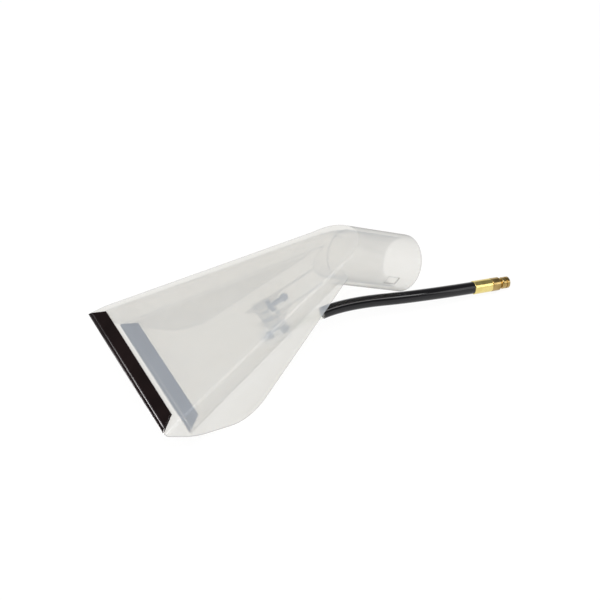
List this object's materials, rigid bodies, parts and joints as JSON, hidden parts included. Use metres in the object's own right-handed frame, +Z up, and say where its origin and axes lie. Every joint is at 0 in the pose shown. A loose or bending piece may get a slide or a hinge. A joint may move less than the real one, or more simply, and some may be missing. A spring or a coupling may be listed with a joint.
{
  "type": "upholstery wash tool",
  "caption": "Clear flared hand nozzle with a round wand socket, black lip strips at its wide mouth, a spray jet between splash cheeks and a short feed hose with a brass quick-release nipple.",
  "frame": {"origin": "on the table, under the middle of the tool's own outline without hose and nipple", "axes": "+Z up; +X towards the wand socket, with the mouth towards -X; Y across the tool, middle plane at Y = 0"},
  "size_m": [0.2659, 0.1162, 0.0734],
  "materials": {
    "clear_plastic": "hazy clear moulding",
    "black_strip": "glossy black",
    "black_plastic": "satin black",
    "clear_pipe": "clear",
    "black_hose": "glossy black",
    "brass": "turned brass"
  },
  "bodies": {
    "root": {"housing": "clear_plastic", "front_lip": "black_strip", "rear_lip": "black_strip", "jet_body": "black_plastic", "jet_nozzle": "black_plastic", "feed_pipe": "clear_pipe", "hose": "black_hose", "hose_ferrule": "brass", "hose_nipple": "brass"}
  },
  "joints": []
}
